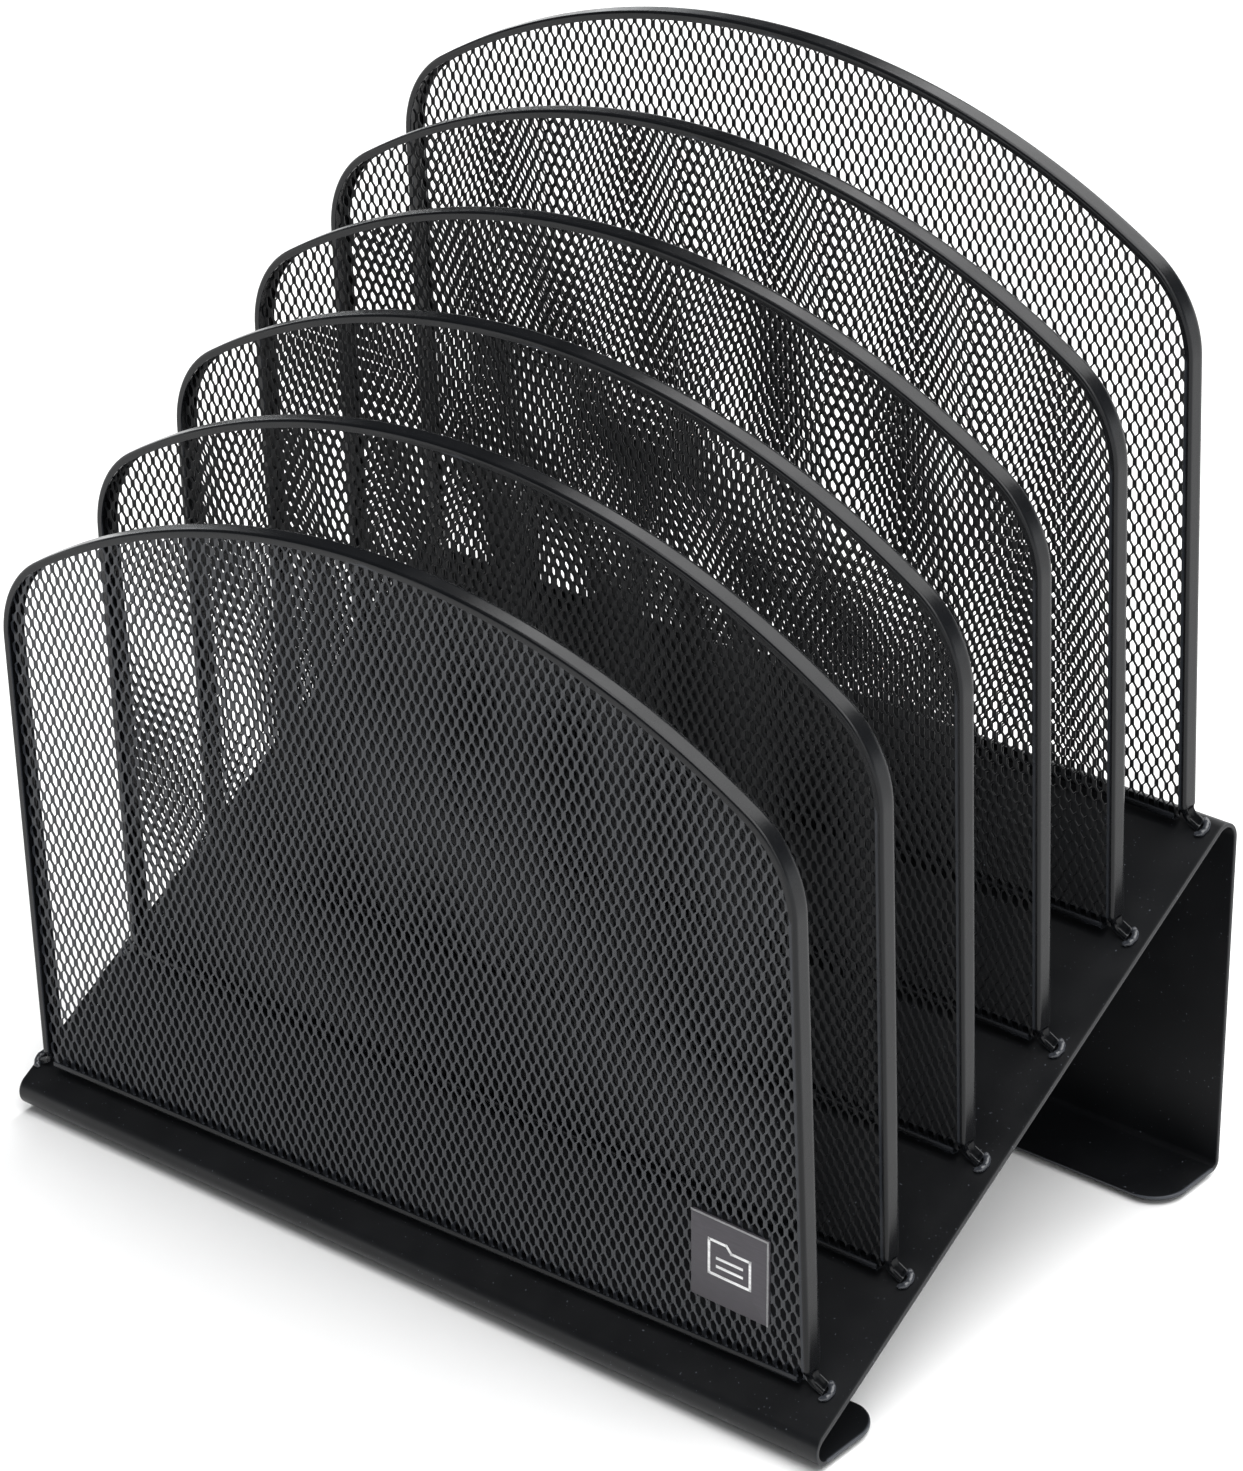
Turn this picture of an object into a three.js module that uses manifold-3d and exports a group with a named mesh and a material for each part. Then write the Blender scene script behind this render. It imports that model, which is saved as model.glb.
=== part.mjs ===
// Desktop file sorter: a bent sheet-steel base with a sloping deck, carrying six
// upright dividers. Each divider is a channel rim around an expanded-metal panel,
// with a folded strip along its lower edge and a welded toe at each foot.
// Millimetres. +X is to the right seen from the front, +Y to the rear, +Z up.
// The origin is on the desk, at the centre of the footprint.
import * as THREE from 'three';
import Module from 'manifold-3d';
import { mergeVertices } from 'three/addons/utils/BufferGeometryUtils.js';

const wasm = await Module();
wasm.setup();

// ---- Driving sizes -------------------------------------------------------------
const degrees = Math.PI / 180;
const GAP = 0.3; // clearance kept between pieces that touch on the real object

const BASE_WIDTH = 286;
const BASE_DEPTH = 183;
const SHEET = 1.2;
const DECK_ANGLE = 29.5 * degrees;
const LEG_LEAN = 3.4 * degrees;
const FRONT_FLANGE = 28.5;
const REAR_FLANGE = 26;
const FLANGE_CORNER = 10;
const NOSE_RADIUS = 4.1; // bend radii are those of the middle of the sheet
const TOP_RADIUS = 5.1;
const HEEL_RADIUS = 2.4;

const PAD_DIAMETER = 10;
const PAD_HEIGHT = 1.6;
const PAD_X = 127;
const PAD_FRONT_Y = -81;
const PAD_REAR_Y = 73;

const DIVIDERS = 6;
const DIVIDER_PITCH = 32.5;
const FIRST_DIVIDER_Y = -80.3;
const DIVIDER_SHIFT = -1; // the dividers are welded a little left of the middle of the deck
const FRONT_DIVIDER_SHIFT = -2.2; // and the front one, which stands slightly askew, a little more
const FRONT_DIVIDER_Y = -81;
const FRONT_DIVIDER_TURN = 0.85 * degrees;
const RIM_HALF_WIDTH = 135.4;
const RIM_HEIGHT = 196; // top of the arch above the deck
const SHOULDER_RADIUS = 31;
const ARCH_RADIUS = 229;

const CHANNEL_DEPTH = 6.4; // front to rear
const CHANNEL_LIP = 2.2; // how far the two lips reach inward
const CHANNEL_WALL = 0.6;
const CHANNEL_ROUND = 1.1;

const TOE_REACH = 138.8;
const TOE_ANGLE = 50 * degrees; // away from the vertical
const TOE_BEND = 4;
const TOE_DEPTH = 3.2;
const TOE_LIP = 1.5;
const TOE_CREASE = 0.8;

const PANEL_THICKNESS = 0.6;
const PANEL_FORWARD = 0.7; // how far the middle of the panel is in front of the rim's middle
const STRIP_FRONT = 3; // front and rear of the strip, measured from the rim's middle
const STRIP_REAR = 0.9;
const STRIP_WALL = 0.5;
const STRIP_HEIGHT = 2.2;
const STRIP_LIFT = 1.2; // air between the deck and the strip
const STRIP_HALF_LENGTH = 131.5;

const BEAD_REACH = 2.3; // middle line of the bead around the end of the toe, outward
const BEAD_SPREAD = 2.9; // and along the slope of the deck
const BEAD_HALF_WIDTH = 0.55;
const BEAD_HEIGHT = 1.1;
const BEAD_SHOULDER_WIDTH = 0.4; // half width and height of the bead's rounded shoulder
const BEAD_SHOULDER_HEIGHT = 0.85;
const BEAD_HALF_SWEEP = 80 * degrees;

const LABEL_WIDTH = 25;
const LABEL_HEIGHT = 25.8;
const LABEL_THICKNESS = 0.9;
const LABEL_CORNER = 0.5;
const LABEL_X = 110.1; // from the middle of the divider
const LABEL_Z = 27.5; // middle of the label above the deck
const LABEL_TURN = 2.5 * degrees; // its right end hangs a little low

// ---- Materials -----------------------------------------------------------------
const steel = { color: 0x26272a, roughness: 0.5, metalness: 0.3 };
const meshSteel = { color: 0x1f2023, roughness: 0.55, metalness: 0.3 };
const weldSteel = { color: 0x3a3b3e, roughness: 0.45, metalness: 0.3 };
const labelFinish = { color: 0x35333a, roughness: 0.6, metalness: 0.1 };
const rubber = { color: 0x141414, roughness: 0.9, metalness: 0 };

// ---- Helpers -------------------------------------------------------------------
const group = new THREE.Group();
group.name = 'desktop_file_sorter';

function addPiece(name, geometry, finish) {
  geometry.computeVertexNormals();
  const mesh = new THREE.Mesh(geometry, new THREE.MeshStandardMaterial(finish));
  mesh.name = name;
  group.add(mesh);
}

function mix(a, b, amount) {
  return a + (b - a) * amount;
}

// Evenly spaced numbers from first to last, both included.
function steps(first, last, count) {
  return Array.from({ length: count + 1 }, (_, i) => mix(first, last, i / count));
}

// A closed skin over rings of points that all have the same number of points.
function skin(rings, capOutline) {
  const size = rings[0].length;
  const triangles = [];
  for (let r = 0; r + 1 < rings.length; r += 1) {
    for (let i = 0; i < size; i += 1) {
      const next = (i + 1) % size;
      const a = r * size + i;
      const b = r * size + next;
      const c = a + size;
      const d = b + size;
      triangles.push(a, b, d, a, d, c);
    }
  }
  const last = (rings.length - 1) * size;
  for (const [a, b, c] of THREE.ShapeUtils.triangulateShape(capOutline, [])) {
    triangles.push(a, c, b);
    triangles.push(last + a, last + b, last + c);
  }
  const geometry = new THREE.BufferGeometry();
  const positions = rings.flat().flatMap((p) => [p.x, p.y, p.z]);
  geometry.setAttribute('position', new THREE.Float32BufferAttribute(positions, 3));
  geometry.setIndex(triangles);
  return facingOut(geometry);
}

// Six times the enclosed volume, negative when the skin faces inward.
function signedVolume(geometry) {
  const p = geometry.attributes.position;
  const index = geometry.index;
  const [a, b, c] = [new THREE.Vector3(), new THREE.Vector3(), new THREE.Vector3()];
  let sum = 0;
  for (let i = 0; i < index.count; i += 3) {
    a.fromBufferAttribute(p, index.getX(i));
    b.fromBufferAttribute(p, index.getX(i + 1));
    c.fromBufferAttribute(p, index.getX(i + 2));
    sum += a.dot(b.cross(c));
  }
  return sum;
}

function facingOut(geometry) {
  if (signedVolume(geometry) < 0) {
    const index = geometry.index;
    for (let i = 0; i < index.count; i += 3) {
      const second = index.getX(i + 1);
      index.setX(i + 1, index.getX(i + 2));
      index.setX(i + 2, second);
    }
  }
  return geometry;
}

// A flat outline pushed along the third axis and laid into the frame given.
function plate(shape, thickness, xAxis, yAxis, zAxis, corner, curveSegments = 8) {
  const geometry = new THREE.ExtrudeGeometry(shape, {
    depth: thickness,
    bevelEnabled: false,
    curveSegments,
  });
  const place = new THREE.Matrix4().makeBasis(xAxis, yAxis, zAxis).setPosition(corner);
  return geometry.applyMatrix4(place);
}

function toManifold(geometry) {
  const bare = new THREE.BufferGeometry();
  bare.setAttribute('position', geometry.attributes.position);
  if (geometry.index) bare.setIndex(geometry.index);
  const merged = mergeVertices(bare, 1e-5);
  return new wasm.Manifold(new wasm.Mesh({
    numProp: 3,
    vertProperties: new Float32Array(merged.attributes.position.array),
    triVerts: new Uint32Array(merged.index.array),
  }));
}

function fromManifold(solid) {
  const result = solid.getMesh();
  const geometry = new THREE.BufferGeometry();
  geometry.setAttribute('position', new THREE.Float32BufferAttribute(result.vertProperties, 3));
  geometry.setIndex(Array.from(result.triVerts));
  return geometry;
}

const X = new THREE.Vector3(1, 0, 0);
const Y = new THREE.Vector3(0, 1, 0);
const Z = new THREE.Vector3(0, 0, 1);

// ---- Base sheet: side profile --------------------------------------------------
// The sheet is followed from the rear edge of the front flange, round the nose, up
// the deck, over the top bend, down the leg and forward along the rear flange.
const flangeZ = PAD_HEIGHT + SHEET / 2;
const legDirection = -(90 * degrees + LEG_LEAN);

// Unit vector to the left of a heading; this is the outer side of every bend.
function outward(heading) {
  return new THREE.Vector2(-Math.sin(heading), Math.cos(heading));
}

const noseCentre = new THREE.Vector2(-BASE_DEPTH / 2 + NOSE_RADIUS + SHEET / 2, flangeZ + NOSE_RADIUS);
const deckStart = noseCentre.clone().addScaledVector(outward(DECK_ANGLE), NOSE_RADIUS);

// Height of the deck's upper face at a given depth.
function deckTop(y) {
  return deckStart.y + (y - deckStart.x) * Math.tan(DECK_ANGLE) + SHEET / 2 / Math.cos(DECK_ANGLE);
}

const topCentreY = BASE_DEPTH / 2 - TOP_RADIUS - SHEET / 2;
const topCentre = new THREE.Vector2(
  topCentreY,
  deckTop(topCentreY) - (TOP_RADIUS + SHEET / 2) / Math.cos(DECK_ANGLE),
);
const legTop = topCentre.clone().addScaledVector(outward(legDirection), TOP_RADIUS);
const heelCentreZ = flangeZ + HEEL_RADIUS;
const heelCentreY = legTop.x
  - HEEL_RADIUS * Math.cos(LEG_LEAN)
  - (legTop.y - heelCentreZ + HEEL_RADIUS * Math.sin(LEG_LEAN)) * Math.tan(LEG_LEAN);
const heelCentre = new THREE.Vector2(heelCentreY, heelCentreZ);
const heelRear = heelCentreY + HEEL_RADIUS + SHEET / 2;
const frontFlangeEnd = -BASE_DEPTH / 2 + FRONT_FLANGE;
const rearFlangeEnd = heelRear - REAR_FLANGE;

function bend(centre, radius, from, to, count) {
  return steps(from, to, count).map((heading) => ({ centre, radius, heading }));
}

function baseShape() {
  const bends = [
    ...bend(noseCentre, NOSE_RADIUS, 180 * degrees, 100 * degrees, 6),
    ...bend(noseCentre, NOSE_RADIUS, 90 * degrees, DECK_ANGLE, 5),
    ...bend(topCentre, TOP_RADIUS, DECK_ANGLE, -90 * degrees, 9),
    { centre: topCentre, radius: TOP_RADIUS, heading: legDirection },
    ...bend(heelCentre, HEEL_RADIUS, legDirection, -180 * degrees, 6),
  ];
  const side = (offset) => bends.map(
    ({ centre, radius, heading }) => centre.clone().addScaledVector(outward(heading), radius + offset),
  );
  const outer = [
    new THREE.Vector2(frontFlangeEnd, flangeZ - SHEET / 2),
    ...side(SHEET / 2),
    new THREE.Vector2(rearFlangeEnd, flangeZ - SHEET / 2),
  ];
  const inner = [
    new THREE.Vector2(frontFlangeEnd, flangeZ + SHEET / 2),
    ...side(-SHEET / 2),
    new THREE.Vector2(rearFlangeEnd, flangeZ + SHEET / 2),
  ];
  return new THREE.Shape([...outer, ...inner.reverse()]);
}

// A cutter that rounds one corner of a flange; towardX and towardY point outward.
function cornerCutter(cornerX, cornerY, towardX, towardY) {
  const over = 1;
  const arc = steps(0, 90 * degrees, 8).map((angle) => new THREE.Vector2(
    cornerX - towardX * FLANGE_CORNER * (1 - Math.cos(angle)),
    cornerY - towardY * FLANGE_CORNER * (1 - Math.sin(angle)),
  ));
  const outline = [
    ...arc,
    new THREE.Vector2(cornerX - towardX * FLANGE_CORNER, cornerY + towardY * over),
    new THREE.Vector2(cornerX + towardX * over, cornerY + towardY * over),
    new THREE.Vector2(cornerX + towardX * over, cornerY - towardY * FLANGE_CORNER),
  ];
  if (towardX * towardY < 0) outline.reverse();
  const start = new THREE.Vector3(0, 0, PAD_HEIGHT - over);
  return toManifold(plate(new THREE.Shape(outline), SHEET + 2 * over, X, Y, Z, start));
}

function basePlate() {
  const corner = new THREE.Vector3(-BASE_WIDTH / 2, 0, 0);
  let solid = toManifold(plate(baseShape(), BASE_WIDTH, Y, Z, X, corner));
  for (const towardX of [-1, 1]) {
    const edgeX = towardX * BASE_WIDTH / 2;
    solid = solid.subtract(cornerCutter(edgeX, frontFlangeEnd, towardX, 1));
    solid = solid.subtract(cornerCutter(edgeX, rearFlangeEnd, towardX, -1));
  }
  return fromManifold(solid);
}

// ---- Divider rim ---------------------------------------------------------------
// Half of the rim's outer line, from the tip of the right toe to the top of the
// arch. Heights are above the deck at the divider. `toe` goes from 0 on the upright
// to 1 on the toe, and `tip` is 1 only at the very end of the toe.
const toeBendRun = TOE_BEND * (1 - Math.cos(TOE_ANGLE));
const toeRun = TOE_REACH - RIM_HALF_WIDTH - toeBendRun;
const toeTipZ = GAP + TOE_LIP * Math.sin(TOE_ANGLE);
const toeTopZ = toeTipZ + toeRun / Math.tan(TOE_ANGLE);
const uprightStart = toeTopZ + TOE_BEND * Math.sin(TOE_ANGLE);

const archCentreZ = RIM_HEIGHT - ARCH_RADIUS;
const shoulderX = RIM_HALF_WIDTH - SHOULDER_RADIUS;
const shoulderZ = archCentreZ + Math.sqrt((ARCH_RADIUS - SHOULDER_RADIUS) ** 2 - shoulderX ** 2);
const shoulderSweep = Math.atan2(shoulderZ - archCentreZ, shoulderX);

function arcPoint(centreX, centreZ, radius, angle) {
  return {
    x: centreX + radius * Math.cos(angle),
    z: centreZ + radius * Math.sin(angle),
    normalX: Math.cos(angle),
    normalZ: Math.sin(angle),
    toe: 0,
    tip: 0,
  };
}

function rimHalf() {
  const points = [];
  const toeNormal = { normalX: Math.cos(TOE_ANGLE), normalZ: Math.sin(TOE_ANGLE) };
  for (const along of [0, 0.25, 1]) {
    points.push({
      x: TOE_REACH - toeRun * along,
      z: mix(toeTipZ, toeTopZ, along),
      ...toeNormal,
      toe: 1,
      tip: along === 0 ? 1 : 0,
    });
  }
  for (const angle of steps(TOE_ANGLE, 0, 3).slice(1)) {
    points.push({
      x: RIM_HALF_WIDTH + TOE_BEND * (1 - Math.cos(angle)),
      z: uprightStart - TOE_BEND * Math.sin(angle),
      normalX: Math.cos(angle),
      normalZ: Math.sin(angle),
      toe: angle / TOE_ANGLE,
      tip: 0,
    });
  }
  for (const angle of steps(0, shoulderSweep, 6)) {
    points.push(arcPoint(shoulderX, shoulderZ, SHOULDER_RADIUS, angle));
  }
  for (const angle of steps(shoulderSweep, 90 * degrees, 8).slice(1)) {
    points.push(arcPoint(0, archCentreZ, ARCH_RADIUS, angle));
  }
  return points;
}

function rimLine() {
  const right = rimHalf();
  const left = right.slice(0, -1).reverse();
  return [...right, ...left.map((p) => ({ ...p, x: -p.x, normalX: -p.normalX }))];
}

// Cross-section of the channel: `out` is outward from the divider, `back` is
// toward the rear. The toe is narrower and creased along the middle of its web.
function channelSection(toe, tip) {
  const half = mix(CHANNEL_DEPTH, TOE_DEPTH, toe) / 2;
  const lip = mix(CHANNEL_LIP, TOE_LIP, toe);
  const round = mix(CHANNEL_ROUND, half / 2, toe);
  const crease = TOE_CREASE * toe * (1 - tip);
  const eased = round * (1 - Math.cos(45 * degrees));
  const frontOuter = [
    [-lip, -half],
    [-round, -half],
    [-eased, eased - half],
    [0, round - half],
  ];
  const rearOuter = frontOuter.map(([out, back]) => [out, -back]).reverse();
  const rearInner = [
    [-lip, half - CHANNEL_WALL],
    [-CHANNEL_WALL, half - CHANNEL_WALL],
  ];
  const frontInner = rearInner.map(([out, back]) => [out, -back]).reverse();
  return [
    ...frontOuter,
    [-crease, 0],
    ...rearOuter,
    ...rearInner,
    [-CHANNEL_WALL - crease, 0],
    ...frontInner,
  ];
}

// Dividers are made upright around the point of the deck under their middle, then
// stood in place. The front one is turned a little, and tips with the slope of the
// deck so that both its toes still stand on it.
function standing(number) {
  if (number > 1) {
    const y = FIRST_DIVIDER_Y + (number - 1) * DIVIDER_PITCH;
    return new THREE.Matrix4().makeTranslation(DIVIDER_SHIFT, y, deckTop(y));
  }
  const tip = Math.atan(Math.sin(FRONT_DIVIDER_TURN) * Math.tan(DECK_ANGLE));
  return new THREE.Matrix4()
    .makeTranslation(FRONT_DIVIDER_SHIFT, FRONT_DIVIDER_Y, deckTop(FRONT_DIVIDER_Y))
    .multiply(new THREE.Matrix4().makeRotationZ(FRONT_DIVIDER_TURN))
    .multiply(new THREE.Matrix4().makeRotationY(-tip));
}

function rim() {
  const rings = rimLine().map((p) => channelSection(p.toe, p.tip).map(([out, back]) => new THREE.Vector3(
    p.x + p.normalX * out,
    back,
    p.z + p.normalZ * out + back * Math.tan(DECK_ANGLE) * p.toe,
  )));
  const cap = channelSection(1, 1).map(([out, back]) => new THREE.Vector2(out, back));
  return skin(rings, cap);
}

// ---- Expanded-metal panel: a thin plate that fills the rim ----------------------
const panelInset = CHANNEL_WALL + GAP;
const panelFront = -PANEL_FORWARD - PANEL_THICKNESS / 2;
const panelBottom = STRIP_LIFT + STRIP_WALL + GAP;
const panelFootHalf = RIM_HALF_WIDTH - CHANNEL_LIP;
const panelFootTop = uprightStart + CHANNEL_LIP;

function panelShape() {
  const right = rimHalf()
    .filter((p) => p.toe === 0 && p.z > panelFootTop)
    .map((p) => new THREE.Vector2(p.x - p.normalX * panelInset, p.z - p.normalZ * panelInset));
  const left = right.slice(0, -1).reverse().map((p) => new THREE.Vector2(-p.x, p.y));
  const foot = [
    new THREE.Vector2(panelFootHalf, panelBottom),
    new THREE.Vector2(panelFootHalf, panelFootTop - panelInset),
    new THREE.Vector2(RIM_HALF_WIDTH - panelInset, panelFootTop),
  ];
  const farFoot = foot.map((p) => new THREE.Vector2(-p.x, p.y)).reverse();
  return new THREE.Shape([...foot, ...right, ...left, ...farFoot]);
}

function panel() {
  const corner = new THREE.Vector3(0, panelFront + PANEL_THICKNESS, 0);
  return plate(panelShape(), PANEL_THICKNESS, X, Z, Y.clone().negate(), corner);
}

// ---- Folded strip: a shallow trough along the lower edge of the panel -----------
function strip() {
  const innerFront = STRIP_WALL - STRIP_FRONT;
  const innerRear = STRIP_REAR - STRIP_WALL;
  const low = STRIP_LIFT;
  const top = STRIP_LIFT + STRIP_HEIGHT;
  const shape = new THREE.Shape([
    new THREE.Vector2(-STRIP_FRONT, low),
    new THREE.Vector2(STRIP_REAR, low),
    new THREE.Vector2(STRIP_REAR, top),
    new THREE.Vector2(innerRear, top),
    new THREE.Vector2(innerRear, low + STRIP_WALL),
    new THREE.Vector2(innerFront, low + STRIP_WALL),
    new THREE.Vector2(innerFront, top),
    new THREE.Vector2(-STRIP_FRONT, top),
  ]);
  const corner = new THREE.Vector3(-STRIP_HALF_LENGTH, 0, 0);
  return plate(shape, 2 * STRIP_HALF_LENGTH, Y, Z, X, corner);
}

// ---- Weld bead: a low crescent on the deck around the end of a toe --------------
const alongDeck = new THREE.Vector3(0, Math.cos(DECK_ANGLE), Math.sin(DECK_ANGLE));
const offDeck = new THREE.Vector3(0, -Math.sin(DECK_ANGLE), Math.cos(DECK_ANGLE));

function bead(side) {
  const centre = new THREE.Vector3(side * (TOE_REACH - TOE_LIP * Math.cos(TOE_ANGLE)), 0, 0);
  const section = [
    [-BEAD_HALF_WIDTH, GAP],
    [BEAD_HALF_WIDTH, GAP],
    [BEAD_SHOULDER_WIDTH, BEAD_SHOULDER_HEIGHT],
    [0, BEAD_HEIGHT],
    [-BEAD_SHOULDER_WIDTH, BEAD_SHOULDER_HEIGHT],
  ];
  const rings = steps(-BEAD_HALF_SWEEP, BEAD_HALF_SWEEP, 6).map((angle) => section.map(([out, up]) => (
    centre.clone()
      .addScaledVector(X, side * (BEAD_REACH + out) * Math.cos(angle))
      .addScaledVector(alongDeck, (BEAD_SPREAD + out) * Math.sin(angle))
      .addScaledVector(offDeck, up)
  )));
  return skin(rings, section.map(([out, up]) => new THREE.Vector2(out, up)));
}

// ---- Label plate and foot pads --------------------------------------------------
function roundedRectangle(width, height, radius) {
  const w = width / 2;
  const h = height / 2;
  const shape = new THREE.Shape();
  shape.moveTo(radius - w, -h);
  shape.lineTo(w - radius, -h);
  shape.absarc(w - radius, radius - h, radius, -90 * degrees, 0);
  shape.lineTo(w, h - radius);
  shape.absarc(w - radius, h - radius, radius, 0, 90 * degrees);
  shape.lineTo(radius - w, h);
  shape.absarc(radius - w, h - radius, radius, 90 * degrees, 180 * degrees);
  shape.lineTo(-w, radius - h);
  shape.absarc(radius - w, radius - h, radius, 180 * degrees, 270 * degrees);
  return shape;
}

function labelPlate() {
  const shape = roundedRectangle(LABEL_WIDTH, LABEL_HEIGHT, LABEL_CORNER);
  const label = plate(shape, LABEL_THICKNESS, X, Z, Y.clone().negate(), new THREE.Vector3(), 4);
  label.rotateY(LABEL_TURN);
  label.translate(LABEL_X, panelFront - GAP, LABEL_Z);
  return label;
}

function footPad(x, y) {
  const height = PAD_HEIGHT - GAP;
  const pad = new THREE.CylinderGeometry(PAD_DIAMETER / 2, PAD_DIAMETER / 2, height, 24);
  pad.rotateX(90 * degrees);
  pad.translate(x, y, height / 2);
  return pad;
}

// ---- Assembly ------------------------------------------------------------------
addPiece('base_plate', basePlate(), steel);

for (let number = 1; number <= DIVIDERS; number += 1) {
  const place = standing(number);
  addPiece(`divider_${number}_rim`, rim().applyMatrix4(place), steel);
  addPiece(`divider_${number}_mesh_panel`, panel().applyMatrix4(place), meshSteel);
  addPiece(`divider_${number}_bottom_strip`, strip().applyMatrix4(place), steel);
  addPiece(`divider_${number}_weld_left`, bead(-1).applyMatrix4(place), weldSteel);
  addPiece(`divider_${number}_weld_right`, bead(1).applyMatrix4(place), weldSteel);
}

addPiece('label_plate', labelPlate().applyMatrix4(standing(1)), labelFinish);

for (const [side, x] of [['left', -PAD_X], ['right', PAD_X]]) {
  addPiece(`foot_pad_front_${side}`, footPad(x, PAD_FRONT_Y), rubber);
  addPiece(`foot_pad_rear_${side}`, footPad(x, PAD_REAR_Y), rubber);
}

export default group;
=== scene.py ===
"""Looks for the desktop file sorter: powder-coated sheet steel, channel rims and expanded-metal panels."""

import math

import bmesh
import bpy
import numpy as np
from mathutils import Matrix, Vector


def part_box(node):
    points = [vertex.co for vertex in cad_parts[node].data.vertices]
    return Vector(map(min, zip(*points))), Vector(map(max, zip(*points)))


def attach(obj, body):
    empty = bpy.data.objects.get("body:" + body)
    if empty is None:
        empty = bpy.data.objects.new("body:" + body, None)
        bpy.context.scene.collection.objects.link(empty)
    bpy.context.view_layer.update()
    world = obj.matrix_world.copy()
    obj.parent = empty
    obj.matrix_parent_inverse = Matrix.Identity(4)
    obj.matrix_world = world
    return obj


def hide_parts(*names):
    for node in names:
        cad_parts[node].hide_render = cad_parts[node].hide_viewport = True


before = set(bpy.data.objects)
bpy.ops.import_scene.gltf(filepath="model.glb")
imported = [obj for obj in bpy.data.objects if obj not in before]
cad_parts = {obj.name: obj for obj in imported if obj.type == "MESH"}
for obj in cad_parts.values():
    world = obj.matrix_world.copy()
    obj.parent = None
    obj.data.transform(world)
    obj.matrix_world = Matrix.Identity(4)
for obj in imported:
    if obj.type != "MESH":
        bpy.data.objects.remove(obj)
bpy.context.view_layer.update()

# ---- Sizes, in metres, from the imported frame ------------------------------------
MM = 0.001
DIVIDERS = 6


def box(node):
    """Lowest and highest corner of a CAD node, as arrays."""
    low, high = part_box(node)
    return np.array(low), np.array(high)


base_low, base_high = box("base_plate")
second_low, second_high = box("divider_2_rim")
last_low, _ = box("divider_6_rim")

HALF_WIDTH = (base_high[0] - base_low[0]) / 2
SHEET = 1.2 * MM
PITCH = (last_low[1] - second_low[1]) / (DIVIDERS - 2)
SLOPE = (last_low[2] - second_low[2]) / (DIVIDERS - 2) / PITCH
DECK_ANGLE = math.atan(SLOPE)

# The bent sheet: radii are those of the middle of the sheet.
FLANGE_Z = base_low[2] + SHEET / 2
NOSE_RADIUS = 4.1 * MM
TOP_RADIUS = 5.1 * MM
HEEL_RADIUS = 2.4 * MM
LEG_LEAN = math.radians(3.4)
FRONT_FLANGE = 28.5 * MM
REAR_FLANGE = 26 * MM
FLANGE_CORNER = 10 * MM
EDGE_ROUND = 0.35 * MM
EDGE_MARGIN = 0.6 * MM  # narrow faces beside the rounded side edges
FLAT_PARTS = (-0.9, -0.6, -0.3, 0, 0.3, 0.6, 0.9)  # where the flat is cut, over its half width
MIDDLE_OF_EDGE = 0.01  # radians from level within which a side edge's point is at mid-height

# Dividers: channel rim, its creased toes, and the panel inside it.
DIVIDER_X = (second_low[0] + second_high[0]) / 2
SECOND_Y = (second_low[1] + second_high[1]) / 2
TOE_REACH = (second_high[0] - second_low[0]) / 2
RIM_HALF_WIDTH = TOE_REACH - 3.4 * MM
RIM_HEIGHT = 196 * MM
SHOULDER_RADIUS = 31 * MM
ARCH_RADIUS = 229 * MM
CHANNEL_DEPTH = 6.4 * MM
CHANNEL_LIP = 2.2 * MM
CHANNEL_WALL = 0.6 * MM
FRONT_ROUND = 0.9 * MM
REAR_ROUND = 2.0 * MM
TOE_ANGLE = math.radians(62)
TOE_BEND = 1.6 * MM
TOE_DEPTH = 2.9 * MM
TOE_LIP = 1.5 * MM
TOE_ROUND = 0.5 * MM
TOE_CREASE = 1.3 * MM
CREASE_POWER = 1.5  # 1 gives a plain cosine across the web, and more a narrower crease
CREASE_LOSS = 0.8  # how much of the crease is lost at the toe's tip
CREASE_INSIDE = 0.8  # the crease's depth on the inner face, over that on the outer
TIP_SHARE = 0.45  # the part of the toe over which its crease runs out
NECK_SHARE = 0.75  # how much of the toe's section is left where the upright starts
NECK_FADE = 1.6 * MM  # over this height the neck opens out into the full channel
GAP = 0.3 * MM
FRONT_DIVIDER_X = -2.2 * MM
FRONT_DIVIDER_Y = -81 * MM
FRONT_DIVIDER_TURN = math.radians(0.85)

# Folded strip along a panel's lower edge.
STRIP_FRONT = 3 * MM
STRIP_REAR = 0.9 * MM
STRIP_WALL = 0.5 * MM
STRIP_HEIGHT = 2.2 * MM
STRIP_LIFT = 1.2 * MM
STRIP_ROUND = 1.1 * MM
STRIP_HALF_LENGTH = 131.5 * MM

# Expanded metal: zigzag strands, side by side along the bonds.
PANEL_Y = -0.7 * MM
PANEL_INSET = 1.25 * MM  # from the rim's outer line to the strands' ends
PANEL_FOOT = STRIP_LIFT + STRIP_WALL + 0.05 * MM
PANEL_HALF_WIDTH = RIM_HALF_WIDTH - 2 * CHANNEL_WALL
PANEL_COLUMNS = 81  # columns of bonds in half a sheet of usual stretch
STRETCH = 2  # columns more or fewer in the sheets stretched least or most
STRETCH_TURN = 2.4  # radians from one sheet to the next, so that no two neighbours are alike
BOND_RISE = 3.1 * MM  # between one column's bonds and its neighbour's
BOND_LENGTH = 2.0 * MM
STRAND_WIDTH = 0.56 * MM
STRAND_THICKNESS = 0.4 * MM
STRAND_TILT = math.radians(22)

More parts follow.
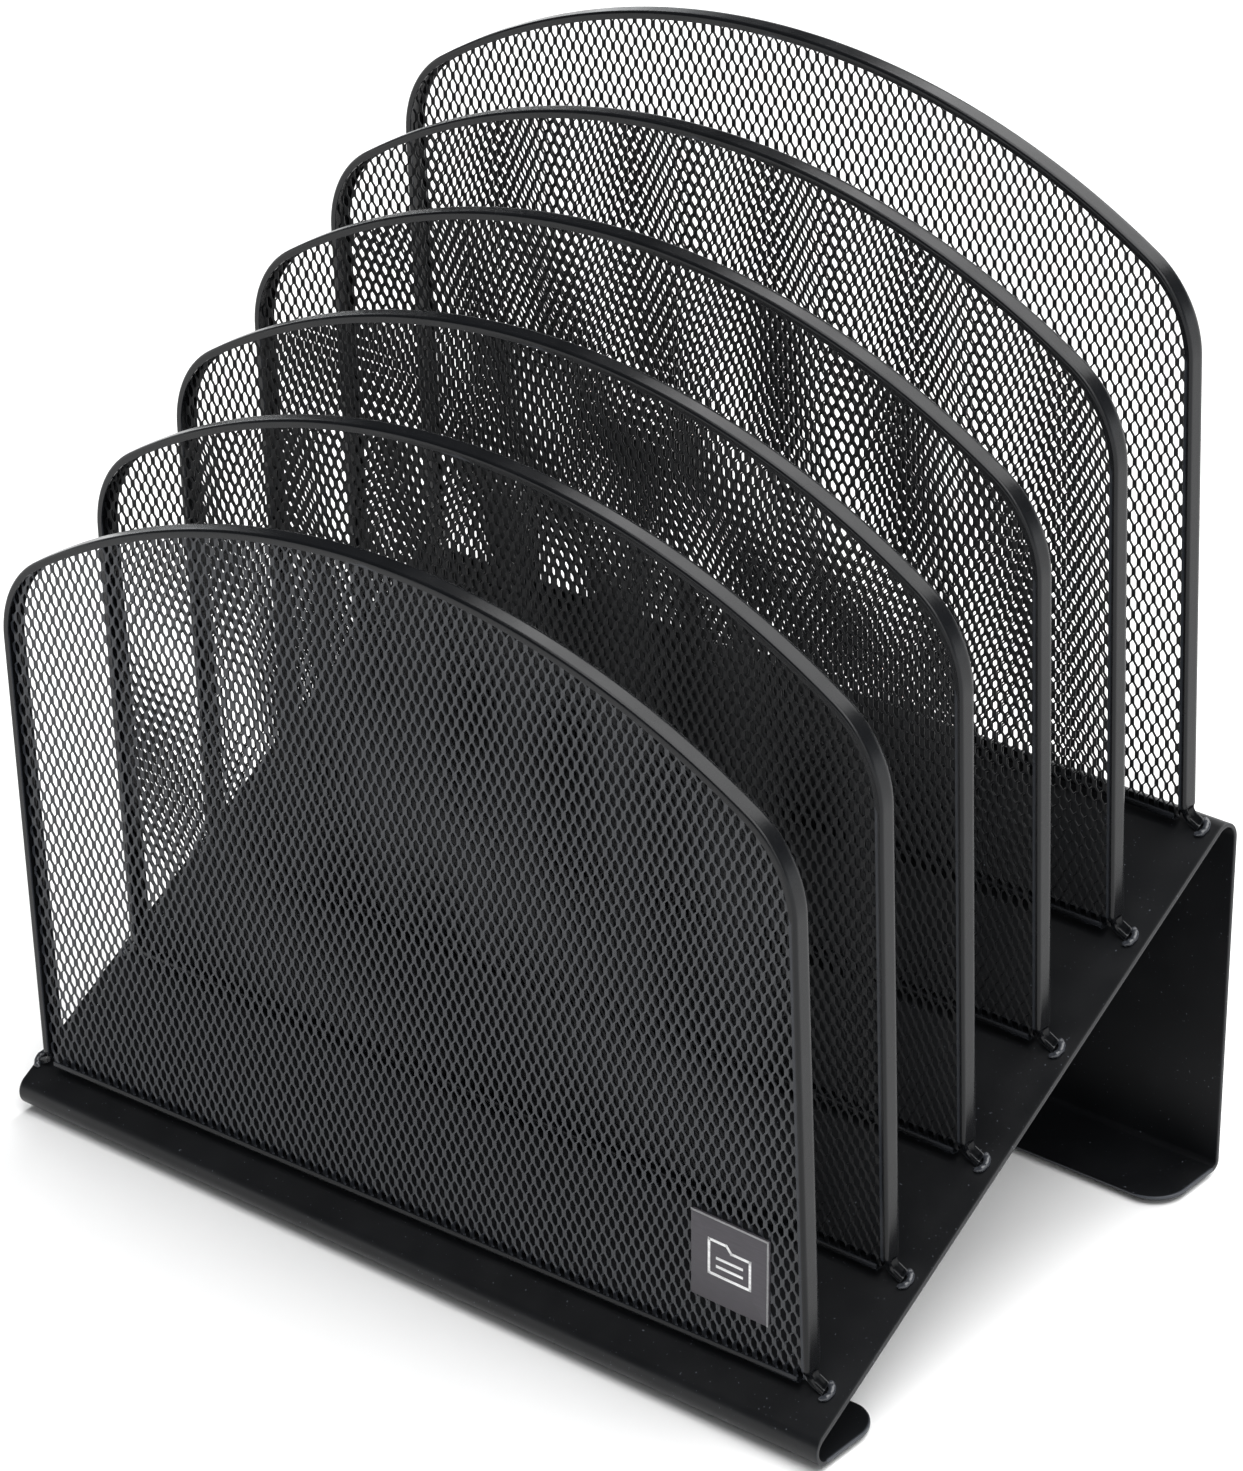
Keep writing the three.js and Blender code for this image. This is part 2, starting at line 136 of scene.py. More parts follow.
# Weld bead: its middle line is part of an ellipse on the deck, round the toe's end.
BEAD_OUT = 2.15 * MM
BEAD_ALONG = 2.35 * MM
BEAD_SWEEP = math.radians(96)
BEAD_HALF_WIDTH = 0.95 * MM
BEAD_HALF_HEIGHT = 0.8 * MM
BEAD_LIFT = 0.55 * MM
BEAD_CLEAR = 0.02 * MM
BEAD_REAR_SWELL = 0.35  # thickening at the two ends, over the thickness at the middle
BEAD_FRONT_SWELL = 0.07
BEAD_TIP = 0.02  # keeps the ends from closing to a point
BEAD_RIPPLE = 0.045  # height of the lumps, in millimetres
BEAD_WAVES = 3.1  # lumps' turn per radian of sweep
BEAD_SEED = 11

# Label plate and its print.
LABEL_SIZE = (25 * MM, 25.8 * MM)
LABEL_THICKNESS = 0.9 * MM
LABEL_X = 110.1 * MM
LABEL_Z = 27.5 * MM
LABEL_TURN = math.radians(2.5)
LABEL_Y = -1.3 * MM
LABEL_CORNER = 0.5 * MM
LABEL_EDGE = 0.12 * MM
PRINT_DEPTH = 0.1 * MM  # how far the print's bars are sunk into the plate
PRINT_EDGE = 0.03 * MM
RIB_WIDTH = 0.5 * MM
LINE_WIDTH = 0.75 * MM
FOLDER_HALF_WIDTH = 6.6 * MM
FOLDER_HALF_HEIGHT = 4.2 * MM

# Rubber foot pads.
PAD_ROUND = 0.35 * MM
PAD_DISH = 0.25 * MM
PAD_HUB = 0.02 * MM  # the discs' middle ring, closed by a flat end

SMOOTH_ANGLE = math.radians(35)


# ---- Shapes ---------------------------------------------------------------------
def mix(a, b, amount):
    """a where amount is 0, b where it is 1."""
    return a + (b - a) * amount


def ease(amount):
    """0 to 1 with flat ends."""
    return amount * amount * (3 - 2 * amount)


def steps(first, last, count):
    """Evenly spaced numbers, both ends included."""
    return np.linspace(first, last, count + 1)


def outward(heading):
    """Unit vector to the left of a heading in the side view, as (y, z)."""
    return np.array([-math.sin(heading), math.cos(heading)])


nose_centre = np.array([base_low[1] + NOSE_RADIUS + SHEET / 2, FLANGE_Z + NOSE_RADIUS])
deck_start = nose_centre + NOSE_RADIUS * outward(DECK_ANGLE)


def deck_top(y):
    """Height of the deck's upper face."""
    return deck_start[1] + (y - deck_start[0]) * SLOPE + SHEET / 2 / math.cos(DECK_ANGLE)


def make_object(name, vertices, faces, materials, face_material=None):
    """A smooth-shaded mesh object with sharp edges kept where faces meet at an angle."""
    mesh = bpy.data.meshes.new(name)
    mesh.from_pydata([tuple(v) for v in vertices], [], faces)
    mesh.validate()
    for material in materials:
        mesh.materials.append(material)
    if face_material is not None:
        mesh.polygons.foreach_set("material_index", face_material)
    mesh.shade_smooth()
    mesh.set_sharp_from_angle(angle=SMOOTH_ANGLE)
    piece = bpy.data.objects.new(name, mesh)
    bpy.context.scene.collection.objects.link(piece)
    return piece


def loft(rings):
    """Vertices and quads of closed rings joined in order, with flat ends."""
    size = len(rings[0])
    vertices = np.concatenate(rings)
    faces = []
    for r in range(len(rings) - 1):
        for i in range(size):
            j = (i + 1) % size
            faces.append((r * size + i, r * size + j, (r + 1) * size + j, (r + 1) * size + i))
    faces.append(tuple(range(size))[::-1])
    faces.append(tuple(range((len(rings) - 1) * size, len(rings) * size)))
    return vertices, faces


def face_outward(piece):
    """Turns every face of a closed mesh to point out."""
    mesh = bmesh.new()
    mesh.from_mesh(piece.data)
    bmesh.ops.recalc_face_normals(mesh, faces=mesh.faces)
    mesh.to_mesh(piece.data)
    mesh.free()
    piece.data.set_sharp_from_angle(angle=SMOOTH_ANGLE)


def put(piece, node, place=None):
    """Stands a piece in the place of the CAD node that it replaces."""
    if place is not None:
        piece.matrix_world = place
        bpy.context.view_layer.update()
    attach(piece, "root")
    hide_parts(node)


def standing(number):
    """Where a divider made upright about the origin stands on the deck."""
    if number > 1:
        y = SECOND_Y + (number - 2) * PITCH
        return Matrix.Translation((DIVIDER_X, y, deck_top(y)))
    tip = math.atan(math.sin(FRONT_DIVIDER_TURN) * SLOPE)
    place = Matrix.Translation((FRONT_DIVIDER_X, FRONT_DIVIDER_Y, deck_top(FRONT_DIVIDER_Y)))
    return place @ Matrix.Rotation(FRONT_DIVIDER_TURN, 4, "Z") @ Matrix.Rotation(-tip, 4, "Y")


# ---- Materials ------------------------------------------------------------------
def new_material(name, roughness, specular=0.5):
    """A node material with a Principled shader, and its tree."""
    material = bpy.data.materials.new(name)
    material.use_nodes = True
    tree = material.node_tree
    tree.nodes.clear()
    output = tree.nodes.new("ShaderNodeOutputMaterial")
    shader = tree.nodes.new("ShaderNodeBsdfPrincipled")
    tree.links.new(shader.outputs["BSDF"], output.inputs["Surface"])
    shader.inputs["Roughness"].default_value = roughness
    shader.inputs["Specular IOR Level"].default_value = specular
    return material, tree, shader


def noise(tree, size, detail=3.0, stretch=(1, 1, 1)):
    """Noise whose blobs are about size metres across, over the object's own coordinates."""
    coordinates = tree.nodes.new("ShaderNodeTexCoord")
    mapping = tree.nodes.new("ShaderNodeMapping")
    mapping.inputs["Scale"].default_value = stretch
    tree.links.new(coordinates.outputs["Object"], mapping.inputs["Vector"])
    node = tree.nodes.new("ShaderNodeTexNoise")
    node.inputs["Scale"].default_value = 1 / size
    node.inputs["Detail"].default_value = detail
    tree.links.new(mapping.outputs["Vector"], node.inputs["Vector"])
    return node.outputs["Fac"]


def spread(tree, value, low, high, start=0.3, end=0.7):
    """A value from start..end spread over low..high."""
    node = tree.nodes.new("ShaderNodeMapRange")
    node.inputs["From Min"].default_value = start
    node.inputs["From Max"].default_value = end
    node.inputs["To Min"].default_value = low
    node.inputs["To Max"].default_value = high
    tree.links.new(value, node.inputs["Value"])
    return node.outputs["Result"]


def blend_colour(tree, amount, first, second):
    """Two colours, or colour outputs, mixed by an output."""
    node = tree.nodes.new("ShaderNodeMix")
    node.data_type = "RGBA"
    tree.links.new(amount, node.inputs["Factor"])
    for name, value in (("A", first), ("B", second)):
        socket = [s for s in node.inputs if s.name == name and s.type == "RGBA"][0]
        if isinstance(value, tuple):
            socket.default_value = value
        else:
            tree.links.new(value, socket)
    return [s for s in node.outputs if s.type == "RGBA"][0]


def edge_wear_and_highlight_mask(tree, low, high):
    """0 on flat faces and 1 on tight outside edges, from the shape's pointiness: where the coat is worn and
    where a painted edge highlight is laid.
    """
    geometry = tree.nodes.new("ShaderNodeNewGeometry")
    return spread(tree, geometry.outputs["Pointiness"], 0, 1, low, high)


def bump(tree, shader, layers):
    """Bumps from (height output, strength, distance) layers, one over another."""
    normal = None
    for height, strength, distance in layers:
        node = tree.nodes.new("ShaderNodeBump")
        node.inputs["Strength"].default_value = strength
        node.inputs["Distance"].default_value = distance
        tree.links.new(height, node.inputs["Height"])
        if normal is not None:
            tree.links.new(normal, node.inputs["Normal"])
        normal = node.outputs["Normal"]
    tree.links.new(normal, shader.inputs["Normal"])


def grey(value, tint=(1, 1, 1)):
    return (value * tint[0], value * tint[1], value * tint[2], 1)


COOL = (0.9, 0.98, 1.16)


def powder_coat(name, base, roughness, wear_and_highlight, specular, nibs=False):
    """Satin black powder coat: slightly uneven colour and gloss, fine orange peel, a few pale nibs."""
    material, tree, shader = new_material(name, roughness, specular)
    cloud = spread(tree, noise(tree, 25 * MM), 0, 1)
    colour = blend_colour(tree, cloud, grey(base * 0.85, COOL), grey(base * 1.15, COOL))
    # Tight outside edges turn lighter: partly wear of the coat, partly a painted edge highlight.
    worn_and_lit_edges = edge_wear_and_highlight_mask(tree, 0.53, 0.62)
    colour = blend_colour(tree, worn_and_lit_edges, colour, grey(wear_and_highlight, COOL))
    if nibs:
        speck = spread(tree, noise(tree, 0.9 * MM, 1.0), 0, 1, 0.74, 0.8)
        colour = blend_colour(tree, speck, colour, grey(0.09, COOL))
    tree.links.new(colour, shader.inputs["Base Color"])
    gloss = spread(tree, noise(tree, 12 * MM), roughness - 0.05, roughness + 0.05)
    tree.links.new(gloss, shader.inputs["Roughness"])
    peel = noise(tree, 1.1 * MM, 2.0)
    fine = noise(tree, 0.3 * MM, 1.0)
    bump(tree, shader, [(peel, 0.25, 0.06 * MM), (fine, 0.15, 0.02 * MM)])
    return material


def label_coat(name, base, tint, roughness):
    """Printed anodised plate: fine sideways brushing and faint mottling."""
    material, tree, shader = new_material(name, roughness)
    grain = noise(tree, 0.5 * MM, 2.0, stretch=(0.1, 1, 1))
    colour = blend_colour(tree, spread(tree, grain, 0, 1), grey(base * 0.85, tint), grey(base * 1.2, tint))
    tree.links.new(colour, shader.inputs["Base Color"])
    tree.links.new(spread(tree, grain, roughness - 0.06, roughness + 0.06), shader.inputs["Roughness"])
    bump(tree, shader, [(grain, 0.15, 0.02 * MM)])
    return material


def rubber_coat(name):
    """Dull black rubber with a fine moulded grain."""
    material, tree, shader = new_material(name, 0.8, 0.3)
    cloud = noise(tree, 2 * MM)
    colour = blend_colour(tree, spread(tree, cloud, 0, 1), grey(0.012), grey(0.022))
    tree.links.new(colour, shader.inputs["Base Color"])
    tree.links.new(spread(tree, cloud, 0.72, 0.88), shader.inputs["Roughness"])
    bump(tree, shader, [(noise(tree, 0.25 * MM), 0.4, 0.05 * MM)])
    return material


base_coat = powder_coat("base_powder_coat", base=0.005, roughness=0.4, wear_and_highlight=0.05, specular=0.3, nibs=True)
rim_coat = powder_coat("rim_powder_coat", base=0.005, roughness=0.24, wear_and_highlight=0.03, specular=0.25)
# Painted light and shade: the front panel's coat is lighter where light falls on it, and the panels behind
# get a darker coat for their shade.
front_panel_lit_coat = powder_coat("front_panel_painted_light_coat", base=0.02, roughness=0.3, wear_and_highlight=0.05, specular=0.5)
rear_panels_shaded_coat = powder_coat("rear_panels_painted_shade_coat", base=0.004, roughness=0.4, wear_and_highlight=0.01, specular=0.25)
weld_coat = powder_coat("weld_powder_coat", base=0.03, roughness=0.25, wear_and_highlight=0.05, specular=0.6, nibs=True)
label_dark = label_coat("label_ground", 0.045, (1.0, 0.9, 1.08), 0.45)
# The edge coat is lighter as a painted highlight on the plate's top and right edges.
label_painted_highlight = label_coat("label_painted_highlight", 0.22, (1.0, 1.0, 1.02), 0.35)
label_light = label_coat("label_print", 0.75, (1.0, 1.0, 1.0), 0.5)
pad_rubber = rubber_coat("pad_rubber")


# ---- Base sheet -----------------------------------------------------------------
def base_path():
    """Middle line of the sheet in the side view, as (y, z, heading, half width, thickness share)."""
    leg_heading = -(math.pi / 2 + LEG_LEAN)
    top_y = base_high[1] - TOP_RADIUS - SHEET / 2
    top_z = deck_top(top_y) - (TOP_RADIUS + SHEET / 2) / math.cos(DECK_ANGLE)
    top_centre = np.array([top_y, top_z])
    leg_top = top_centre + TOP_RADIUS * outward(leg_heading)
    heel_z = FLANGE_Z + HEEL_RADIUS
    drop = leg_top[1] - heel_z + HEEL_RADIUS * math.sin(LEG_LEAN)
    heel_y = leg_top[0] - HEEL_RADIUS * math.cos(LEG_LEAN) - drop * math.tan(LEG_LEAN)
    heel_centre = np.array([heel_y, heel_z])
    front_end = base_low[1] + FRONT_FLANGE
    rear_end = heel_y + HEEL_RADIUS + SHEET / 2 - REAR_FLANGE

    def flange_end(y_end, inward):
        """Stations from a flange's free end to where its rounded corners finish."""
        stations = []
        for amount in steps(0, 1, 3):
            angle = amount * math.pi / 2
            depth = EDGE_ROUND * (1 - math.cos(angle))
            share = 1 - 2 * EDGE_ROUND * (1 - math.sin(angle)) / SHEET
            corner = math.acos(1 - depth / FLANGE_CORNER)
            stations.append((y_end + inward * depth, corner, share))
        first = stations[-1][1]
        for corner in steps(first, math.pi / 2, 14)[1:]:
            depth = FLANGE_CORNER * (1 - math.cos(corner))
            stations.append((y_end + inward * depth, corner, 1))
        half = [HALF_WIDTH - FLANGE_CORNER * (1 - math.sin(corner)) for _, corner, _ in stations]
        return [(y, FLANGE_Z, math.pi, w, s) for (y, _, s), w in zip(stations, half)]

    def bend(centre, radius, first, last, count):
        """Stations round a bend, from one heading to another."""
        points = []
        for heading in steps(first, last, count):
            y, z = centre + radius * outward(heading)
            points.append((y, z, heading, HALF_WIDTH, 1))
        return points

    def straight(start, end, count):
        """Evenly spaced stations between two bends, without the bends' own."""
        points = []
        for amount in steps(0, 1, count)[1:-1]:
            here = mix(np.array(start[:2]), np.array(end[:2]), amount)
            points.append((here[0], here[1], start[2], HALF_WIDTH, 1))
        return points

    front = flange_end(front_end, -1)
    nose = bend(nose_centre, NOSE_RADIUS, math.pi, DECK_ANGLE, 24)
    top = bend(top_centre, TOP_RADIUS, DECK_ANGLE, leg_heading, 24)
    heel = bend(heel_centre, HEEL_RADIUS, leg_heading, -math.pi, 14)
    rear = [(y, z, -math.pi, w, s) for y, z, _, w, s in flange_end(rear_end, 1)][::-1]
    return (front + straight(front[-1], nose[0], 3) + nose + straight(nose[-1], top[0], 40)
            + top + straight(top[-1], heel[0], 20) + heel + straight(heel[-1], rear[0], 3) + rear)


def side_edge(thick, radius, first, last):
    """Rounded side edge of the sheet as (how far past the flat, up)."""
    points = []
    for angle in steps(first, last, 6)[1:-1]:
        level = abs(angle) < MIDDLE_OF_EDGE
        up = 0 if level else radius * math.sin(angle) + math.copysign(thick - radius, angle)
        points.append((radius * math.cos(angle), up))
    return points


def sheet_ring(station):
    """Rounded-rectangle cross-section of the sheet at one station."""
    y, z, heading, half, share = station
    thick = SHEET / 2 * share
    radius = min(EDGE_ROUND, thick * 0.9)
    inner = half - radius
    flat = [-inner, EDGE_MARGIN - inner]
    flat += [inner * part for part in FLAT_PARTS]
    flat += [inner - EDGE_MARGIN, inner]
    quarter = math.pi / 2
    outline = [(x, thick) for x in flat]
    outline += [(inner + past, up) for past, up in side_edge(thick, radius, quarter, -quarter)]
    outline += [(x, -thick) for x in flat[::-1]]
    outline += [(-inner - past, up) for past, up in side_edge(thick, radius, -quarter, quarter)]
    out = outward(heading)
    return np.array([(x, y + out[0] * up, z + out[1] * up) for x, up in outline])


def build_base():
    """The bent sheet, as one loft from the front flange's end to the rear flange's."""
    vertices, faces = loft([sheet_ring(station) for station in base_path()])
    piece = make_object("base_sheet", vertices, faces, [base_coat])
    face_outward(piece)
    put(piece, "base_plate")


# ---- Rim ------------------------------------------------------------------------
toe_bend_run = TOE_BEND * (1 - math.cos(TOE_ANGLE))
toe_run = TOE_REACH - RIM_HALF_WIDTH - toe_bend_run
toe_tip_z = GAP + TOE_LIP * math.sin(TOE_ANGLE)
toe_top_z = toe_tip_z + toe_run / math.tan(TOE_ANGLE)
upright_start = toe_top_z + TOE_BEND * math.sin(TOE_ANGLE)
arch_centre_z = RIM_HEIGHT - ARCH_RADIUS
shoulder_x = RIM_HALF_WIDTH - SHOULDER_RADIUS
shoulder_z = arch_centre_z + math.sqrt((ARCH_RADIUS - SHOULDER_RADIUS) ** 2 - shoulder_x ** 2)
shoulder_sweep = math.atan2(shoulder_z - arch_centre_z, shoulder_x)


def rim_half():
    """Outer line of the right half of a rim as (x, z, normal angle, toe share, tip share)."""
    points = []
    for along in steps(0, 1, 8):
        tip = ease(max(0.0, 1 - along / TIP_SHARE))
        points.append((TOE_REACH - toe_run * along, mix(toe_tip_z, toe_top_z, along), TOE_ANGLE, 1, tip))
    for angle in steps(TOE_ANGLE, 0, 8)[1:]:
        x = RIM_HALF_WIDTH + TOE_BEND * (1 - math.cos(angle))
        z = upright_start - TOE_BEND * math.sin(angle)
        points.append((x, z, angle, mix(NECK_SHARE, 1, angle / TOE_ANGLE), 0))
    for amount in steps(0, 1, 8)[1:]:
        toe = NECK_SHARE * (1 - ease(amount))
        points.append((RIM_HALF_WIDTH, upright_start + NECK_FADE * amount, 0, toe, 0))
    start = upright_start + NECK_FADE
    for amount in steps(0, 1, 12)[1:]:
        points.append((RIM_HALF_WIDTH, mix(start, shoulder_z, amount ** 2), 0, 0, 0))
    for angle in steps(0, shoulder_sweep, 28)[1:]:
        x = shoulder_x + SHOULDER_RADIUS * math.cos(angle)
        points.append((x, shoulder_z + SHOULDER_RADIUS * math.sin(angle), angle, 0, 0))
    for angle in steps(shoulder_sweep, math.pi / 2, 40)[1:]:
        x = ARCH_RADIUS * math.cos(angle)
        points.append((x, arch_centre_z + ARCH_RADIUS * math.sin(angle), angle, 0, 0))
    return points


def channel_corner(half, lip, radius):
    """One lip and its bend into the web as (out, back), for the front side of the channel."""
    cut = CHANNEL_WALL / 6
    along_lip = 0.55
    corner = [(cut - lip, CHANNEL_WALL - half), (-lip, CHANNEL_WALL - cut - half), (-lip, cut - half)]
    corner += [(cut - lip, -half), (mix(-lip, -radius, along_lip), -half)]
    for angle in steps(0, math.pi / 2, 7):
        corner.append((radius * math.sin(angle) - radius, radius - half - radius * math.cos(angle)))
    return corner


def inner_corner(half, radius):
    """The inner face of the same bend, from the web to the lip."""
    inside = max(radius - CHANNEL_WALL, CHANNEL_WALL / 4)
    corner = []
    for angle in steps(math.pi / 2, 0, 4):
        out = inside * math.sin(angle) - inside - CHANNEL_WALL
        corner.append((out, inside - (half - CHANNEL_WALL) - inside * math.cos(angle)))
    return corner


def mirrored(corner):
    """The same points for the rear side of the channel, in the other order."""
    return [(out, -back) for out, back in corner[::-1]]


def channel_section(toe, tip):
    """Cross-section of the channel as (out, back): rounded lips, and a creased web at the toe."""
    half = mix(CHANNEL_DEPTH, TOE_DEPTH, toe) / 2
    lip = mix(CHANNEL_LIP, TOE_LIP, toe)
    front_radius = mix(FRONT_ROUND, TOE_ROUND, toe)
    rear_radius = mix(REAR_ROUND, TOE_ROUND, toe)
    crease = TOE_CREASE * toe * (1 - CREASE_LOSS * tip)
    web = []
    for amount in steps(-1, 1, 8)[1:-1]:
        back = mix(front_radius - half, half - rear_radius, (amount + 1) / 2)
        web.append((-crease * math.cos(amount * math.pi / 2) ** CREASE_POWER, back))
    outside = channel_corner(half, lip, front_radius) + web
    outside += mirrored(channel_corner(half, lip, rear_radius))
    inside = mirrored(inner_corner(half, rear_radius))
    inside += [(-CHANNEL_WALL - crease * CREASE_INSIDE, 0)]
    inside += inner_corner(half, front_radius)
    return outside + inside


def rim_mesh():
    """The whole rim, from the right toe over the arch to the left toe."""
    right = rim_half()
    left = [(-x, z, math.pi - a, toe, tip) for x, z, a, toe, tip in right[-2::-1]]
    rings = []
    for x, z, angle, toe, tip in right + left:
        ring = []
        for out, back in channel_section(toe, tip):
            lean = toe if toe > NECK_SHARE else NECK_SHARE * ease(toe / NECK_SHARE)
            lift = back * SLOPE * lean
            ring.append((x + math.cos(angle) * out, back, z + math.sin(angle) * out + lift))
        rings.append(np.array(ring))
    return loft(rings)


# ---- Expanded-metal panel -------------------------------------------------------
def panel_top(x):
    """Height at which a strand at x ends, inside the channel."""
    x = abs(x)
    arch = ARCH_RADIUS - PANEL_INSET
    shoulder = SHOULDER_RADIUS - PANEL_INSET
    if x < arch * math.cos(shoulder_sweep):
        return arch_centre_z + math.sqrt(arch ** 2 - x ** 2)
    return shoulder_z + math.sqrt(max(shoulder ** 2 - (x - shoulder_x) ** 2, 0))


def strand(column, pitch, rise):
    """Rings of one zigzag strand between two columns of bonds."""
    along = np.array([math.cos(STRAND_TILT), math.sin(STRAND_TILT)])
    across = np.array([-along[1], along[0]])
    left = column * pitch
    x_left = left + STRAND_WIDTH / 2 * along[0]
    x_right = left + pitch - STRAND_WIDTH / 2 * along[0]
    swing = STRAND_WIDTH / 2 * along[1]
    high = panel_top(left + pitch / 2)
    # The strand's middle line, bonded to its left and its right neighbour in turn.
    phase = column % 2
    path = []
    level = 0
    while (level - 1) * rise < high:
        at_left = (level + phase) % 2 == 0
        x, y = (x_left, swing) if at_left else (x_right, -swing)
        for z in (level * rise - BOND_LENGTH / 2, level * rise + BOND_LENGTH / 2):
            path.append((x, y, z))
        level += 1
    path = np.array(path)
    # Cut off at the strip below and inside the rim above.
    inside = (path[:, 2] > PANEL_FOOT) & (path[:, 2] < high)
    ends = []
    for z in (PANEL_FOOT, high):
        ends.append([np.interp(z, path[:, 2], path[:, 0]), np.interp(z, path[:, 2], path[:, 1]), z])
    path = np.vstack([ends[0], path[inside], ends[1]])
    # A flat ribbon, turned by the tilt, swept along the line.
    a = along * STRAND_WIDTH / 2
    b = across * STRAND_THICKNESS / 2
    corners = np.array([a + b, -a + b, -a - b, a - b])
    rings = np.zeros((len(path), 4, 3))
    rings[:, :, 0] = path[:, None, 0] + corners[None, :, 0]
    rings[:, :, 1] = path[:, None, 1] + corners[None, :, 1] + PANEL_Y
    rings[:, :, 2] = path[:, None, 2]
    return rings


def panel_mesh(number):
    """Expanded metal of one divider; each sheet has been pulled a little differently."""
    columns = PANEL_COLUMNS + round(STRETCH * math.sin(STRETCH_TURN * number))
    pitch = PANEL_HALF_WIDTH / columns
    rise = BOND_RISE * columns / PANEL_COLUMNS
    vertices, faces, start = [], [], 0
    for column in range(-columns, columns):
        rings = strand(column, pitch, rise)
        points, quads = loft(list(rings))
        vertices.append(points)
        faces += [tuple(i + start for i in face) for face in quads]
        start += len(points)
    return np.concatenate(vertices), faces


# ---- Bottom strip ---------------------------------------------------------------
def strip_mesh():
    """A shallow trough along the lower edge of the panel, with rounded lower bends and edges."""
    low = STRIP_LIFT
    top = STRIP_LIFT + STRIP_HEIGHT
    edge = STRIP_WALL / 2
    section = []

    def arc(centre_y, centre_z, radius, first, last, count):
        """Adds an arc to the cross-section."""
        for angle in steps(first, last, count):
            section.append((centre_y + radius * math.cos(angle), centre_z + radius * math.sin(angle)))

    arc(edge - STRIP_FRONT, top - edge, edge, 0, math.pi, 5)
    arc(STRIP_ROUND - STRIP_FRONT, low + STRIP_ROUND, STRIP_ROUND, math.pi, 1.5 * math.pi, 6)
    arc(STRIP_REAR - STRIP_ROUND, low + STRIP_ROUND, STRIP_ROUND, -0.5 * math.pi, 0, 6)
    arc(STRIP_REAR - edge, top - edge, edge, 0, math.pi, 5)
    inner = STRIP_ROUND - STRIP_WALL
    arc(STRIP_REAR - STRIP_ROUND, low + STRIP_ROUND, inner, 0, -0.5 * math.pi, 4)
    arc(STRIP_ROUND - STRIP_FRONT, low + STRIP_ROUND, inner, 1.5 * math.pi, math.pi, 4)
    rings = []
    for x in steps(-STRIP_HALF_LENGTH, STRIP_HALF_LENGTH, 26):
        rings.append(np.array([(x, back, z) for back, z in section]))
    return loft(rings)


# ---- Weld bead ------------------------------------------------------------------
def bead_mesh(side):
    """A lumpy mound of weld wrapped round the end of a toe, lying on the deck."""
    rng = np.random.default_rng(BEAD_SEED + side)
    centre = np.array([side * (TOE_REACH - TOE_LIP * math.cos(TOE_ANGLE)), 0, 0])
    along_deck = np.array([0, math.cos(DECK_ANGLE), math.sin(DECK_ANGLE)])
    off_deck = np.array([0, -math.sin(DECK_ANGLE), math.cos(DECK_ANGLE)])
    phases = rng.uniform(0, 2 * math.pi, 3)
    rings = []
    for angle in steps(-BEAD_SWEEP, BEAD_SWEEP, 36):
        waves = (math.sin(angle * n * BEAD_WAVES + phase) for n, phase in enumerate(phases, 1))
        ripple = sum(waves) * BEAD_RIPPLE
        swell = 1 + math.sin(angle) ** 2 * (BEAD_REAR_SWELL if angle > 0 else BEAD_FRONT_SWELL)
        fade = math.sqrt(max(BEAD_TIP, 1 - (abs(angle) / BEAD_SWEEP) ** 4))
        ring = []
        for turn in steps(0, 2 * math.pi, 14)[:-1]:
            out = (BEAD_HALF_WIDTH + ripple * MM) * swell * math.cos(turn) * fade
            up = BEAD_LIFT + (BEAD_HALF_HEIGHT + ripple * MM) * swell * math.sin(turn) * fade
            sideways = np.array([side * (BEAD_OUT + out) * math.cos(angle), 0, 0])
            lengthways = along_deck * (BEAD_ALONG + out) * math.sin(angle)
            ring.append(centre + sideways + lengthways + off_deck * max(up, BEAD_CLEAR))
        rings.append(np.array(ring))
    return loft(rings)


def build_dividers():
    """Parts alike on every divider share one mesh; each expanded-metal panel has its own."""
    shapes = {
        "rim": (rim_mesh(), rim_coat, "black_steel"),
        "bottom_strip": (strip_mesh(), rim_coat, "black_steel"),
        "weld_left": (bead_mesh(-1), weld_coat, "weld_steel"),
        "weld_right": (bead_mesh(1), weld_coat, "weld_steel"),
    }
    for part, ((vertices, faces), material, slot) in shapes.items():
        first = make_object(f"{part}_look_1", vertices, faces, [material])
        face_outward(first)
        for number in range(1, DIVIDERS + 1):
            piece = first
            if number > 1:
                piece = bpy.data.objects.new(f"{part}_look_{number}", first.data)
                bpy.context.scene.collection.objects.link(piece)
            put(piece, f"divider_{number}_{part}", standing(number))
    for number in range(1, DIVIDERS + 1):
        # The front panel gets the coat with painted light, and the panels behind it the coat with painted
        # shade.
        coat = front_panel_lit_coat if number == 1 else rear_panels_shaded_coat
        vertices, faces = panel_mesh(number)
        panel = make_object(f"mesh_panel_look_{number}", vertices, faces, [coat])
        put(panel, f"divider_{number}_mesh_panel", standing(number))


# ---- Label and foot pads --------------------------------------------------------
def rounded_outline(width, height, radius):
    """Corner-rounded rectangle as (x, z), anticlockwise."""
    points = []
    for index, (sx, sz) in enumerate(((1, 1), (-1, 1), (-1, -1), (1, -1))):
        for angle in steps(index * math.pi / 2, (index + 1) * math.pi / 2, 6):
            x = sx * (width / 2 - radius) + radius * math.cos(angle)
            points.append((x, sz * (height / 2 - radius) + radius * math.sin(angle)))
    return points


